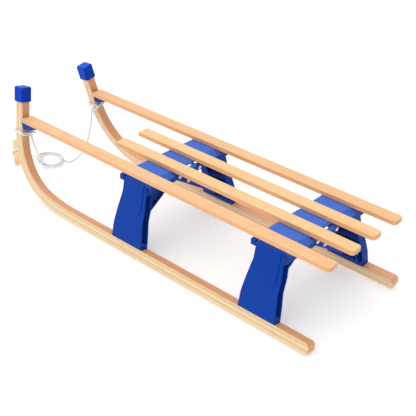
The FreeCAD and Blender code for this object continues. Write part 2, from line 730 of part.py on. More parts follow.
PIN_PLACE = (dim("brace_pin_offset"), dim("brace_pin_height"))
riveted = with_heads(brace_pin, dim("pin_diameter") / 2, pin_start, pin_end, *PIN_PLACE)
add_shape("brace_pins", in_trestles(both_ways(riveted)))

leg_pin_reach = (BAR_REAR + WALL + 0.2, BAR_FRONT - WALL - 0.2)
leg_pin = bar_along_x(LEG_PIN_RADIUS, *leg_pin_reach, dim("leg_pin_offset"), dim("leg_pin_height"))
mirrored_leg_pin = bar_along_x(LEG_PIN_RADIUS, *leg_pin_reach, -dim("leg_pin_offset"), dim("leg_pin_height"))
add_shape("leg_pins", in_trestles([leg_pin, mirrored_leg_pin]))

# The bolt where the two braces cross, with a spacer between them and a nut in front.
CROSSING_HEIGHT = dim("brace_pin_height") + dim("brace_pin_offset") * math.tan(BRACE_SLOPE)
BRACE_GAP = BRACE_FRONT - dim("brace_width")
WASHER_THICKNESS = 1.6
NUT_THICKNESS = 5.0


def on_bolt(x):
    return pointing(X_AXIS, Vector(x, 0, CROSSING_HEIGHT))


bolt_start = -BRACE_FRONT - WASHER_THICKNESS
bolt_end = BRACE_FRONT + WASHER_THICKNESS + NUT_THICKNESS + 1.5
bolt = bar_along_x(BOLT_RADIUS, bolt_start, bolt_end, 0, CROSSING_HEIGHT)
bolt_head = placed(dome(5.5, 3.6), pointing(-X_AXIS, Vector(bolt_start, 0, CROSSING_HEIGHT)))
add_shape("crossing_bolts", in_trestles([bolt.fuse(bolt_head).removeSplitter()]))
washer = ring(7.2, BOLT_RADIUS, WASHER_THICKNESS)
washers = [placed(washer, on_bolt(x)) for x in (bolt_start, BRACE_FRONT)]
add_shape("crossing_washers", in_trestles(washers))
spacer = ring(8.0, BOLT_RADIUS, 2 * BRACE_GAP)
add_shape("crossing_spacers", in_trestles([placed(spacer, on_bolt(-BRACE_GAP))]))
nut = hexagon(10.0, NUT_THICKNESS, BOLT_RADIUS)
add_shape("crossing_nuts", in_trestles([placed(nut, on_bolt(BRACE_FRONT + WASHER_THICKNESS))]))

SLAT_SCREW_LENGTH = WALL + SCREW_BITE - 0.5
slat_screw = pan_screw(SLAT_SCREW_LENGTH)
for place, x in TRESTLES.items():
    frame = trestle_frame(x)
    seats = [frame * pointing(Z_AXIS, Vector(*spot, BAR_TOP - WALL)) for spot in slat_screw_spots()]
    screws = [placed(slat_screw, seat) for seat in seats]
    add_shape(place + "_slat_screws", Part.makeCompound(screws))

leg_screw = pan_screw(FOOT_PLATE - FOOT + LEG_SCREW_BITE - 1)
for side, turn in (("left", Placement()), ("right", HALF_TURN)):
    screws = []
    for x in TRESTLES.values():
        for spot in LEG_SCREW_SPOTS:
            seat = pointing(-Z_AXIS, Vector(spot, -RUNNER_MIDDLE, FOOT_PLATE))
            screws.append(placed(leg_screw, trestle_frame(x) * turn * LEG_PLACE * seat))
    add_shape(side + "_leg_screws", Part.makeCompound(screws))

# ------------------------------------------------------------- brackets from slats to the horns

BRACKET_WIDTH = 25.0
BRACKET_LENGTH = 66.0
BRACKET_HEIGHT = 20.0
BRACKET_TOE = 3.0
BRACKET_Y = 132.5
SCREW_POCKET = 5.0


def horn_rear_x(z):
    """Where the horn's rear face is at a height above the ground, on the runner's middle line."""
    slope_height = (z - RUNNER_MIDDLE * SIN_TILT) / COS_TILT
    horn = runner_line(RUNNER_TOP)[3]
    return horn.x + (slope_height - horn.y) / math.tan(HORN_ANGLE)


def slat_bracket(label, side):
    """A moulded wedge that carries the slat's end on the horn's rear face."""
    body = new_body(label)
    top = BAR_TOP
    bottom = top - BRACKET_HEIGHT
    front_top = horn_rear_x(top)
    front_bottom = horn_rear_x(bottom)
    rear = front_top - BRACKET_LENGTH
    outline = new_sketch(body, "XZ_Plane")
    draw_loop(outline, [
        (front_top, top),
        (rear, top),
        (rear, top - BRACKET_TOE),
        (front_bottom - 12, bottom),
        (front_bottom, bottom),
    ])
    extrude(body, "Pad", outline, BRACKET_WIDTH, symmetric=True)
    behind = front_bottom - 1
    round_edges(body, 1.2, lambda edge: edge.CenterOfMass.z < top - 0.5 and edge.CenterOfMass.x < behind)
    pocket = (front_bottom - 40, front_bottom - SCREW_POCKET, -5.5, 5.5)
    cut_cells(body, "XY_Plane", bottom - 1, [pocket], BRACKET_HEIGHT - 6, reverse=True)
    body.Placement = Placement(Vector(0, side * BRACKET_Y, 0), Rotation())


def bracket_screws():
    """One screw up into each slat near the bracket's toe and one forward into each horn."""
    height = BAR_TOP - BRACKET_HEIGHT / 2 - 2
    slat_spot = horn_rear_x(BAR_TOP) - BRACKET_LENGTH + 10
    screws = []
    for side in (-1, 1):
        up = Vector(slat_spot, side * BRACKET_Y, BAR_TOP - 5)
        screws.append(placed(pan_screw(14), Placement(up, Rotation())))
        forward = Vector(horn_rear_x(height) - SCREW_POCKET, side * BRACKET_Y, height)
        screws.append(placed(pan_screw(20), pointing(X_AXIS, forward)))
    return Part.makeCompound(screws)


slat_bracket("left_slat_bracket", 1)
slat_bracket("right_slat_bracket", -1)
add_shape("bracket_screws", bracket_screws())

# ------------------------------------------------------------------------------ the pull cord

CORD_RADIUS = dim("cord_diameter") / 2
WRAP_HEIGHT = 12.0
WRAP_PLACE = -124.0
KNOT_RADIUS = 8.0
COIL_CENTRE = Vector(597, 3, 0)
COIL_OUTER = (60.0, 43.0)
COIL_INNER = (26.0, 14.0)
COIL_HEIGHT = 10.0
HANDLE_RADIUS = dim("handle_diameter") / 2
HANDLE_REST = HANDLE_RADIUS + 2 * CORD_RADIUS
HANDLE_CENTRE = Vector(696, 50, HANDLE_REST)
HANDLE_HEADING = Vector(104, -70, 0).normalize()

# Where each free stretch runs, from its knot down to the coil or from the coil to the handle.
LEFT_LEAD = [
    Vector(511, 118, 168),
    Vector(520, 108, 133),
    Vector(536, 87, 91),
    Vector(551, 65, 55),
    Vector(566, 47, 28),
    Vector(579, 33, 12),
    Vector(590, 22, 5),
]
RIGHT_LEAD = [
    Vector(523, -122, 172),
    Vector(524, -118, 136),
    Vector(525, -109, 93),
    Vector(528, -97, 53),
    Vector(533, -78, 22),
    Vector(538, -55, 6.5),
    Vector(545, -34, 2.5),
    Vector(562, -25, 3.5),
]
HANDLE_OUT = [Vector(640, 8, 4), Vector(656, 12, 3.4), Vector(672, 22, 3.4), Vector(686, 39, 5)]
HANDLE_BACK = [Vector(632, 24, 4), Vector(650, 31, 3.4), Vector(666, 38, 3.4), Vector(680, 47, 5)]


def tube(label, points):
    """A round cord along straight runs joined by tangent arcs as large as the runs allow."""
    edges = []
    start = points[0]
    length = 0.0
    radii = []
    for before, corner, after in zip(points, points[1:], points[2:]):
        inward = (corner - before).normalize()
        outward = (after - corner).normalize()
        turn = inward.getAngle(outward)
        setback = 0.45 * min(before.distanceToPoint(corner), corner.distanceToPoint(after))
        radius = setback / math.tan(turn / 2)
        radii.append(radius)
        enter = corner - inward * setback
        leave = corner + outward * setback
        bisector = (outward - inward).normalize()
        centre = corner + bisector * (radius / math.cos(turn / 2))
        middle = centre - bisector * radius
        edges.append(Part.LineSegment(start, enter).toShape())
        edges.append(Part.Arc(enter, middle, leave).toShape())
        start = leave
    edges.append(Part.LineSegment(start, points[-1]).toShape())
    path = Part.Wire(edges)
    section = Part.Wire(Part.makeCircle(CORD_RADIUS, points[0], points[1] - points[0]))
    solid = path.makePipeShell([section], True, True)
    expected = math.pi * CORD_RADIUS**2 * path.Length
    print(f"{label}: length {path.Length:.0f}, volume {solid.Volume:.0f} of {expected:.0f},",
          "radii", [round(radius) for radius in radii])
    return solid


def horn_wrap(inner_side):
    """Turns of cord round the horn under its bracket, with the knot at the rear inner corner."""
    half_x = RUNNER_TOP / 2
    half_y = RUNNER_WIDTH / 2
    wide = 2 * CORD_RADIUS
    low = WRAP_PLACE - WRAP_HEIGHT / 2
    outside = Part.makeBox(2 * (half_x + wide), 2 * (half_y + wide), WRAP_HEIGHT,
                           Vector(-half_x - wide, -half_y - wide, low))
    corners = [edge for edge in outside.Edges if edge_along(edge, Z_AXIS, bool)]
    outside = outside.makeFillet(wide, corners)
    hole = Part.makeBox(2 * half_x, 2 * half_y, WRAP_HEIGHT, Vector(-half_x, -half_y, low))
    knot = Part.makeSphere(KNOT_RADIUS, Vector(-half_x - wide - 1, inner_side * (half_y + 1), WRAP_PLACE + 1))
    return outside.fuse(knot).cut(hole).removeSplitter()


def coil():
    """The space that the loose turns lie in: a flat oval ring."""
    faces = []
    for long_half, short_half in (COIL_OUTER, COIL_INNER):
        oval = Part.Ellipse(COIL_CENTRE, long_half, short_half)
        faces.append(Part.Face(Part.Wire(oval.toShape())))
    return faces[0].cut(faces[1]).extrude(Z_AXIS * COIL_HEIGHT)


add_shape("cord_left_wrap", horn_wrap(-1)).Placement = LEFT_PLANE * horn_frame()
add_shape("cord_right_wrap", horn_wrap(1)).Placement = RIGHT_PLANE * horn_frame()
add_shape("cord_left_lead", tube("cord_left_lead", LEFT_LEAD))
add_shape("cord_right_lead", tube("cord_right_lead", RIGHT_LEAD))
add_shape("cord_coil", coil())
add_shape("cord_handle_out", tube("cord_handle_out", HANDLE_OUT))
add_shape("cord_handle_back", tube("cord_handle_back", HANDLE_BACK))

# The handle leans on its own winding, so one end of it touches the ground.
handle_lean = HANDLE_HEADING + Z_AXIS * (2 * CORD_RADIUS / (dim("handle_length") / 2))
handle_place = pointing(handle_lean, HANDLE_CENTRE)
winding = ring(HANDLE_REST, HANDLE_RADIUS, WRAP_HEIGHT - 4)
winding.translate(Vector(0, 0, -(WRAP_HEIGHT - 4) / 2))
add_shape("cord_handle_wrap", winding).Placement = handle_place
handle = new_body("pull_handle")
end_circle = new_sketch(handle, "XY_Plane")
draw_circle(end_circle, 0, 0, HANDLE_RADIUS)
extrude(handle, "Pad", end_circle, "dims.handle_length", symmetric=True)
round_edges(handle, 2.0, lambda edge: edge.Closed)
handle.Placement = handle_place

# ------------------------------------------------------------------------------------- output

doc.recompute()
for item in doc.Objects:
    if "Invalid" in item.State or "Error" in item.State:
        raise RuntimeError(f"{item.Label} failed: {item.State}")

os.makedirs("parts", exist_ok=True)
total = FreeCAD.BoundBox()
for part in parts:
    shape = part.Shape
    if shape.isNull() or not shape.isValid():
        raise RuntimeError(part.Label + " has no valid shape")
    box = shape.optimalBoundingBox(False)
    heights = f"z {box.ZMin:.1f} to {box.ZMax:.1f}"
    print(f"{part.Label}: {len(shape.Solids)} solid(s), {shape.Volume:.0f} mm3, {heights}")
    if not part.Label.startswith(("cord", "pull_handle")):
        total.add(box)
    shape.exportStep(f"parts/{part.Label}.step")
print("sled without its cord:", total)
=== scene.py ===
import json
import math
import random

import bpy
from mathutils import Matrix, Vector


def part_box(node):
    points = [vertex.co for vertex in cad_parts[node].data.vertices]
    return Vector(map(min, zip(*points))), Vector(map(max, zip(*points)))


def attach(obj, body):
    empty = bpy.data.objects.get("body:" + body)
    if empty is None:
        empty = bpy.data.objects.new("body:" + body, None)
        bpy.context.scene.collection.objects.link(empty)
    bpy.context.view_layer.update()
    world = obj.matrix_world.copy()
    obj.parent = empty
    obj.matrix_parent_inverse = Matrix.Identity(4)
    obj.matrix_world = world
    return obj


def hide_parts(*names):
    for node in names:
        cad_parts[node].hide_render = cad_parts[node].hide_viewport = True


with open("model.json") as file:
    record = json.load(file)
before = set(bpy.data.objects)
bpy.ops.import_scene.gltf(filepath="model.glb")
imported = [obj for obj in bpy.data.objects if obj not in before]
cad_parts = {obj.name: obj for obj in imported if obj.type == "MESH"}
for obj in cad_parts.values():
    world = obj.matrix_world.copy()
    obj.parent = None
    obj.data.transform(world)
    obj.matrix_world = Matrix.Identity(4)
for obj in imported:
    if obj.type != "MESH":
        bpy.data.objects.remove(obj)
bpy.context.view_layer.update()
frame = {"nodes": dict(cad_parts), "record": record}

# Looks for a slatted wooden toboggan. +X is its front, +Y its left side and +Z up.
# The scene is in metres. Drawing sizes are in millimetres, and MM turns them into metres.

MM = 0.001
ROOT = "root"
nodes = frame["nodes"]


def millimetres(*values):
    return Vector(values) * MM


# ------------------------------------------------------------------------------------ camera

CAMERA_PLACE = millimetres(-1383.6, 1440.8, 1287.7)
CAMERA_HEADING = Vector((0.5765, -0.6326, -0.5171)).normalized()
CAMERA_ROLL = 0.0122
CAMERA_LENS = 75.8
SENSOR_WIDTH = 36.0
FARTHEST_SEEN = 50.0


def make_camera():
    level_right = CAMERA_HEADING.cross(Vector((0, 0, 1))).normalized()
    level_up = level_right.cross(CAMERA_HEADING)
    cosine = math.cos(CAMERA_ROLL)
    sine = math.sin(CAMERA_ROLL)
    right = level_right * cosine + level_up * sine
    up = level_up * cosine - level_right * sine
    data = bpy.data.cameras.new("camera")
    data.lens = CAMERA_LENS
    data.sensor_width = SENSOR_WIDTH
    data.clip_end = FARTHEST_SEEN
    camera = bpy.data.objects.new("camera", data)
    turn = Matrix((right, up, -CAMERA_HEADING)).transposed().to_4x4()
    camera.matrix_world = Matrix.Translation(CAMERA_PLACE) @ turn
    bpy.context.collection.objects.link(camera)
    bpy.context.scene.camera = camera


make_camera()

# ------------------------------------------------------------------------- meshes and curves


def add_object(name, data):
    item = bpy.data.objects.new(name, data)
    bpy.context.collection.objects.link(item)
    return item


def mesh_object(name, vertices, faces, smooth=True):
    mesh = bpy.data.meshes.new(name)
    mesh.from_pydata(vertices, [], faces)
    mesh.update()
    for polygon in mesh.polygons:
        polygon.use_smooth = smooth
    return add_object(name, mesh)


def tube_faces(rings, sides, offset=0, flipped=False):
    """Quads between neighbouring rings of vertices, and a face over each end."""
    faces = []
    for ring in range(rings - 1):
        for k in range(sides):
            a = offset + ring * sides + k
            b = offset + ring * sides + (k + 1) % sides
            faces.append((a, a + sides, b + sides, b) if flipped else (a, b, b + sides, a + sides))
    first_end = [offset + k for k in range(sides)]
    last_end = [offset + (rings - 1) * sides + k for k in range(sides)]
    faces.append(first_end if flipped else first_end[::-1])
    faces.append(last_end[::-1] if flipped else last_end)
    return faces


def smooth_line(points, resolution=8):
    """Points along the NURBS curve whose control points are given."""
    data = bpy.data.curves.new("route", "CURVE")
    data.dimensions = "3D"
    data.resolution_u = resolution
    spline = data.splines.new("NURBS")
    spline.points.add(len(points) - 1)
    for target, point in zip(spline.points, points):
        target.co = (*point, 1.0)
    spline.order_u = 3
    spline.use_endpoint_u = True
    holder = add_object("route", data)
    line = bpy.data.meshes.new_from_object(holder.evaluated_get(bpy.context.evaluated_depsgraph_get()))
    result = [vertex.co.copy() for vertex in line.vertices]
    bpy.data.objects.remove(holder)
    bpy.data.curves.remove(data)
    bpy.data.meshes.remove(line)
    return result


SHORTEST_LAST_STEP = 0.3


def even_steps(line, step):
    """The same line with points a step apart, and its own end if that isn't too near the last of them."""
    result = [line[0]]
    left = step
    for start, end in zip(line, line[1:]):
        span = (end - start).length
        place = left
        while place <= span:
            result.append(start.lerp(end, place / span))
            place += step
        left = place - span
    if (result[-1] - line[-1]).length > step * SHORTEST_LAST_STEP:
        result.append(line[-1])
    return result


# -------------------------------------------------------------------------------- braided cord

CORD_RADIUS = 2.9 * MM
CORD_SIDES = 16
RING_SPACING = 0.9 * MM
END_TAPER = 0.82
BRAID_STRANDS = 4
BRAID_PITCH = 7.0 * MM
BRAID_RELIEF = 0.07
BRAID_LEVEL = 0.6


def braid_radius(angle, twist):
    """The cord's radius at an angle round it, larger where a strand of either hand passes."""
    left_hand = math.cos(BRAID_STRANDS * angle + twist)
    right_hand = math.cos(BRAID_STRANDS * angle - twist + math.pi / 2)
    return CORD_RADIUS * (1 + BRAID_RELIEF * (max(left_hand, right_hand) - BRAID_LEVEL))


def braided_tube(line, offset=0):
    """Vertices and faces of a closed braided cord along a line; offset numbers its first vertex."""
    line = even_steps(line, RING_SPACING)
    last = len(line) - 1
    vertices = []
    side = (line[1] - line[0]).normalized().orthogonal().normalized()
    travelled = 0.0
    for i, point in enumerate(line):
        heading = (line[min(i + 1, last)] - line[max(i - 1, 0)]).normalized()
        side = (side - heading * side.dot(heading)).normalized()
        other = heading.cross(side)
        if i:
            travelled += (point - line[i - 1]).length
        twist = travelled / BRAID_PITCH * 2 * math.pi
        taper = END_TAPER if i in (0, last) else 1.0
        for k in range(CORD_SIDES):
            angle = 2 * math.pi * k / CORD_SIDES
            outward = side * math.cos(angle) + other * math.sin(angle)
            vertices.append(point + outward * (taper * braid_radius(angle, twist)))
    return vertices, tube_faces(len(line), CORD_SIDES, offset)


def cord_piece(name, lines):
    """One object made of braided tubes along several lines."""
    vertices = []
    faces = []
    for line in lines:
        more_vertices, more_faces = braided_tube(line, len(vertices))
        vertices += more_vertices
        faces += more_faces
    return mesh_object(name, vertices, faces)


# ---------------------------------------------------------------------------- the pull cord

LEFT_LEAD = [
    (511, 118, 168),
    (520, 108, 133),
    (536, 87, 91),
    (551, 65, 55),
    (566, 47, 28),
    (579, 33, 12),
]
RIGHT_LEAD = [
    (523, -122, 172),
    (524, -118, 136),
    (525, -109, 93),
    (528, -97, 53),
    (533, -78, 22),
    (538, -55, 6.5),
    (545, -34, 3.0),
]
HANDLE_OUT = [(640, 8, 4), (656, 12, 3.4), (672, 22, 3.4)]
HANDLE_BACK = [(666, 38, 3.4), (650, 31, 3.4), (632, 24, 4)]

# Loose turns on the ground: (x, y, half length, half width, height) for each, in mm, and the angles
# round them, in degrees, at which the cord arrives and leaves.
LEFT_TURNS = [(606, -9, 40, 34, 3.9), (592, 0, 43, 36, 7.8), (572, 14, 40, 32, 11.8)]
LEFT_TURNS_ANGLES = (118, -728)
RIGHT_TURNS = [(600, -6, 45, 38, 9.6), (580, 9, 38, 35, 13.2)]
RIGHT_TURNS_ANGLES = (28, -492)
POINTS_A_TURN = 14
TURN_RIPPLE = 0.9


def loose_turns(turns, angles):
    """Points round the loose turns, which run into each other."""
    start, end = (math.radians(angle) for angle in angles)
    count = int(round(abs(end - start) / (2 * math.pi) * POINTS_A_TURN))
    points = []
    for i in range(count + 1):
        share = i / count
        place = share * (len(turns) - 1)
        low = min(int(place), len(turns) - 2)
        blend = place - low
        pairs = zip(turns[low], turns[low + 1])
        x, y, long_half, short_half, height = (a + (b - a) * blend for a, b in pairs)
        angle = start + (end - start) * share
        ripple = TURN_RIPPLE * math.sin(2 * angle + low)
        points.append((x + long_half * math.cos(angle), y + short_half * math.sin(angle), height + ripple))
    return points


HANDLE_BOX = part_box("pull_handle")
HANDLE_MIDDLE = (Vector(HANDLE_BOX[0]) + Vector(HANDLE_BOX[1])) / 2
HANDLE_RADIUS = 9.5 * MM
HANDLE_LENGTH = 125.0 * MM
HANDLE_HEADING = Vector((104, -70, 0)).normalized()
HANDLE_RISE = 4 * CORD_RADIUS
HANDLE_AXIS = (HANDLE_HEADING + Vector((0, 0, HANDLE_RISE / (HANDLE_LENGTH / 2)))).normalized()
HANDLE_SIDE = Vector((0, 0, 1)).cross(HANDLE_AXIS).normalized()
HANDLE_UP = HANDLE_AXIS.cross(HANDLE_SIDE)
WINDING_TURNS = 2.4
WINDING_PITCH = 6.1 * MM
WINDING_START = -1.9
WINDING_STEPS = 12


def winding_route():
    """Control points for the turns round the handle."""
    first = -WINDING_TURNS * WINDING_PITCH / 2
    radius = (HANDLE_RADIUS + CORD_RADIUS) / math.cos(math.pi / WINDING_STEPS)
    points = []
    for i in range(int(WINDING_TURNS * WINDING_STEPS) + 1):
        angle = WINDING_START - 2 * math.pi * i / WINDING_STEPS
        outward = HANDLE_SIDE * math.cos(angle) + HANDLE_UP * math.sin(angle)
        along = first + WINDING_PITCH * i / WINDING_STEPS
        points.append(HANDLE_MIDDLE + outward * radius + HANDLE_AXIS * along)
    return points


def cord_route():
    """From the left horn down to its turns, out to the handle, and back to the right horn."""
    outward = LEFT_LEAD + loose_turns(LEFT_TURNS, LEFT_TURNS_ANGLES) + HANDLE_OUT
    homeward = HANDLE_BACK + loose_turns(RIGHT_TURNS, RIGHT_TURNS_ANGLES) + RIGHT_LEAD[::-1]
    points = [millimetres(*point) for point in outward]
    points += winding_route()
    points += [millimetres(*point) for point in homeward]
    return points


cord_line = smooth_line(cord_route())
pull_cord = cord_piece("pull_cord", [cord_line])

# ------------------------------------------------------------- cord wound and tied on the horns

# These sizes are in mm, in the horn's own directions: X across its bend, Y inwards, Z up the horn.
RUNNER_TILT = math.radians(12.0)
HORN_ANGLE = math.radians(83.6)
WRAP_MIDDLE = millimetres(521.7, 137.8, 178.0)
HORN_HALF_DEPTH = 14.4
HORN_HALF_WIDTH = 13.15
SQUARENESS = 0.24

WRAP_TURNS = 2.0
WRAP_STEPS = 36
WRAP_START = math.radians(140)
WRAP_LOWEST = -4.6
WRAP_PITCH = 4.4
WRAP_SLANT = 2.2
WRAP_SLANT_ANGLE = 0.6
SECOND_WRAP_GAP = 0.25

KNOT_CENTRE = Vector((-HORN_HALF_DEPTH - 4.2, HORN_HALF_WIDTH + 2.5, 0.5))
KNOT_STEPS = 60
KNOT_SIZE = 2.9
KNOT_SWELL = 1.5
KNOT_HALF_HEIGHT = 3.3
COLLAR_STEPS = 30
COLLAR_TURNS = 1.25
COLLAR_HALF_SIZES = (5.0, 3.4)
COLLAR_SHIFT = 0.5
COLLAR_LOWEST = -1.5
COLLAR_RISE = 4.5

# The loop and the tail are measured from the middle of the knot.
LOOP = [(0, 0, 0), (-1, 1.5, -5), (5, 5.5, -11), (14, 6.5, -13.5), (21, 4, -10), (15, 3.2, -5), (5, 2.5, -1)]
TAIL = [(0, 0, 0), (-5, 1, 2), (-11, 3, 1), (-15, 4, -1)]
BENT_POINT = 2
TAIL_LIFT = 2
TIE_RESOLUTION = 5


def horn_matrix(side):
    """From the horn's own directions, in mm, to the world."""
    lean = Matrix.Rotation(math.pi / 2 - HORN_ANGLE, 4, "Y")
    tilt = Matrix.Rotation(side * RUNNER_TILT, 4, "X")
    place = Vector((WRAP_MIDDLE.x, side * WRAP_MIDDLE.y, WRAP_MIDDLE.z))
    flip = Matrix.Diagonal((MM, -side * MM, MM, 1))
    return Matrix.Translation(place) @ tilt @ lean @ flip


def squared(value, half_size, gap):
    """A cosine or sine pushed out to the squarish section's flat faces, with the cord on them."""
    return math.copysign(abs(value) ** SQUARENESS, value) * (half_size + CORD_RADIUS / MM + gap)


def wraps_route():
    points = []
    for i in range(int(WRAP_TURNS * WRAP_STEPS) + 1):
        turn = i / WRAP_STEPS
        angle = WRAP_START + 2 * math.pi * turn
        gap = SECOND_WRAP_GAP if turn > 1 else 0.0
        height = WRAP_LOWEST + WRAP_PITCH * turn + WRAP_SLANT * math.cos(angle + WRAP_SLANT_ANGLE)
        x = squared(math.cos(angle), HORN_HALF_DEPTH, gap)
        y = squared(math.sin(angle), HORN_HALF_WIDTH, gap)
        points.append(Vector((x, y, height)))
    return points


def knot_route():
    """A trefoil: one cord that crosses itself three times."""
    points = []
    for i in range(KNOT_STEPS + 1):
        turn = 2 * math.pi * i / KNOT_STEPS
        swell = KNOT_SIZE + KNOT_SWELL * math.cos(3 * turn)
        rise = KNOT_HALF_HEIGHT * math.sin(3 * turn)
        points.append(KNOT_CENTRE + Vector((swell * math.cos(2 * turn), swell * math.sin(2 * turn), rise)))
    return points


def collar_route():
    """The turn that closes the knot."""
    long_half, short_half = COLLAR_HALF_SIZES
    points = []
    for i in range(COLLAR_STEPS + 1):
        share = i / COLLAR_STEPS
        angle = 2 * math.pi * COLLAR_TURNS * share
        x = long_half * math.cos(angle)
        y = short_half * math.sin(angle) + COLLAR_SHIFT
        points.append(KNOT_CENTRE + Vector((x, y, COLLAR_LOWEST + COLLAR_RISE * share)))
    return points


def horn_lines(side, seed):
    """The wraps, the knot with its collar, a loop and a tail, as lines in the world."""
    matrix = horn_matrix(side)
    loop = [KNOT_CENTRE + Vector(step) for step in LOOP]
    tail = [KNOT_CENTRE + Vector(step) for step in TAIL]
    tail[BENT_POINT].z += random.Random(seed).uniform(0, TAIL_LIFT)
    lines = []
    for route in (wraps_route(), knot_route(), collar_route(), loop, tail):
        lines.append(smooth_line([matrix @ point for point in route], TIE_RESOLUTION))
    return lines


left_tie = cord_piece("left_horn_tie", horn_lines(1, 3))
right_tie = cord_piece("right_horn_tie", horn_lines(-1, 8))

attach(pull_cord, ROOT)
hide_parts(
    "cord_left_lead",
    "cord_right_lead",
    "cord_coil",
    "cord_handle_out",
    "cord_handle_back",
    "cord_handle_wrap",
)
for tie, node in ((left_tie, "cord_left_wrap"), (right_tie, "cord_right_wrap")):
    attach(tie, ROOT)
    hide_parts(node)

# ----------------------------------------------------------------------- laminated runners

# These sizes are in mm. A station is a place along the runner's sole, seen from its side:
# (x, height, slope, distance from the rear end).
RUNNER_WIDTH = 26.3
RUNNER_DEPTH = 28.8
RUNNER_REAR = -542.5
STRAIGHT_END = 287.0
GENTLE_RADIUS = 471.0
GENTLE_TURN = math.radians(13.2)
TIGHT_RADIUS = 183.8
HORN_LENGTH = 131.0
FOOT_OFFSET = 188.0
EDGE_EASE = 1.5
EASE_LIFT = EDGE_EASE * (math.sin(RUNNER_TILT) + math.cos(RUNNER_TILT) - 1)
OUTER_LIFT = RUNNER_WIDTH * math.sin(RUNNER_TILT) - EASE_LIFT
REAR_ROUNDING = 9.0
REAR_DISTANCES = (0, 0.35, 1.2, 2.6, 4.6, REAR_ROUNDING)
STRAIGHT_STEPS = 60
GENTLE_STEPS = 12
TIGHT_STEPS = 48
HORN_STEPS = 12
EASE_STEPS = 4
ACROSS_STEPS = 5
DEPTH_STEPS = 8


def add_straight(stations, length, steps):
    x, height, slope, distance = stations[-1]
    for i in range(1, steps + 1):
        run = length * i / steps
        stations.append((x + run * math.cos(slope), height + run * math.sin(slope), slope, distance + run))


def add_bend(stations, radius, end_slope, steps):
    x, height, start_slope, distance = stations[-1]
    for i in range(1, steps + 1):
        slope = start_slope + (end_slope - start_slope) * i / steps
        along = x + radius * (math.sin(slope) - math.sin(start_slope))
        rise = height + radius * (math.cos(start_slope) - math.cos(slope))
        stations.append((along, rise, slope, distance + radius * (slope - start_slope)))


def sole_stations():
    """Stations close together over the rounded rear end, then along the sole to the horn's top."""
    stations = [(RUNNER_REAR + distance, 0.0, 0.0, distance) for distance in REAR_DISTANCES]
    add_straight(stations, STRAIGHT_END - RUNNER_REAR - REAR_ROUNDING, STRAIGHT_STEPS)
    add_bend(stations, GENTLE_RADIUS, GENTLE_TURN, GENTLE_STEPS)
    add_bend(stations, TIGHT_RADIUS, HORN_ANGLE, TIGHT_STEPS)
    add_straight(stations, HORN_LENGTH, HORN_STEPS)
    return stations


def eased_corner(across, depth, first_angle):
    """A quarter turn of points round the centre given."""
    points = []
    for step in range(EASE_STEPS + 1):
        angle = math.radians(first_angle + 90 * step / EASE_STEPS)
        points.append((across + EDGE_EASE * math.cos(angle), depth + EDGE_EASE * math.sin(angle)))
    return points


def section_ring(trim):
    """(across, depth) round the eased section; trim is taken off its sole and its top."""
    low = trim + EDGE_EASE
    high = RUNNER_DEPTH - trim - EDGE_EASE
    far = RUNNER_WIDTH - EDGE_EASE
    corners = [
        eased_corner(EDGE_EASE, low, 180),
        eased_corner(far, low, 270),
        eased_corner(far, high, 0),
        eased_corner(EDGE_EASE, high, 90),
    ]
    ring = []
    for corner, following, steps in zip(corners, corners[1:] + corners[:1], (ACROSS_STEPS, DEPTH_STEPS) * 2):
        ring += corner
        start = Vector(corner[-1])
        end = Vector(following[0])
        ring += [tuple(start.lerp(end, i / steps)) for i in range(1, steps)]
    return ring


def laminated_runner(name, side):
    """The bent strip as a fine mesh that carries its own grain directions for the wood material."""
    tilt = Matrix.Rotation(side * RUNNER_TILT, 4, "X")
    place = Matrix.Translation(millimetres(0, side * FOOT_OFFSET, OUTER_LIFT)) @ tilt
    stations = sole_stations()
    vertices = []
    grain = []
    for x, height, slope, distance in stations:
        reach = max(REAR_ROUNDING - distance, 0.0)
        trim = REAR_ROUNDING - math.sqrt(REAR_ROUNDING**2 - reach**2)
        for across, depth in section_ring(trim):
            along = x - depth * math.sin(slope)
            rise = height + depth * math.cos(slope)
            vertices.append(place @ millimetres(along, -side * across, rise))
            grain.append(millimetres(distance, across, depth))
    sides = len(vertices) // len(stations)
    runner = mesh_object(name, vertices, tube_faces(len(stations), sides, flipped=side > 0))
    layer = runner.data.attributes.new("grain", "FLOAT_VECTOR", "POINT")
    for item, value in zip(layer.data, grain):
        item.vector = value
    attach(runner, ROOT)
    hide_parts(name.replace("_laminated", "_runner"))
    return runner


left_runner = laminated_runner("left_laminated", 1)
right_runner = laminated_runner("right_laminated", -1)

# -------------------------------------------------------------------------- building materials

# The Mix node keeps sockets for several kinds of value; these are the ones for colours.
MIX_FACTOR, MIX_FIRST, MIX_SECOND = 0, 6, 7
MIX_RESULT = 2


